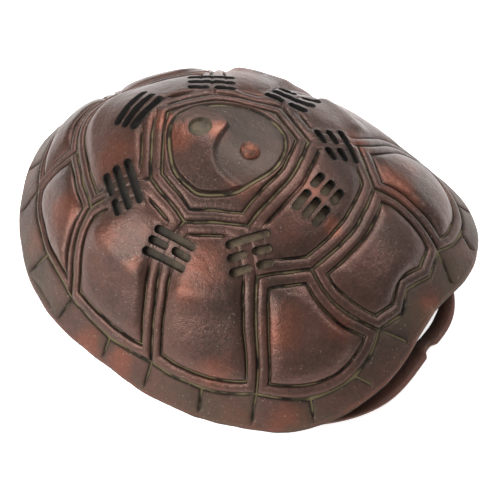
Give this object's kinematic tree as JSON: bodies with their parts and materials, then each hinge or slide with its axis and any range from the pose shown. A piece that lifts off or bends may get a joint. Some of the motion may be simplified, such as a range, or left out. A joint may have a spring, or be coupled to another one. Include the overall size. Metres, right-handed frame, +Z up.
{
  "type": "cast bronze turtle shell",
  "caption": "Hollow cast bronze turtle shell with a domed, carved upper shell, a round panel of paired commas, groups of sunk bars around it, and a flat-footed under-plate.",
  "frame": {"origin": "on the floor, under the middle of the shell", "axes": "+X towards the head opening, +Y towards the left flank, +Z up"},
  "size_m": [0.1434, 0.1252, 0.0659],
  "materials": {
    "carapace_bronze": "dark patinated bronze, rubbed red-brown on the high parts",
    "plastron_bronze": "dark patinated bronze"
  },
  "bodies": {
    "root": {"carapace": "carapace_bronze", "plastron": "plastron_bronze"}
  },
  "joints": []
}
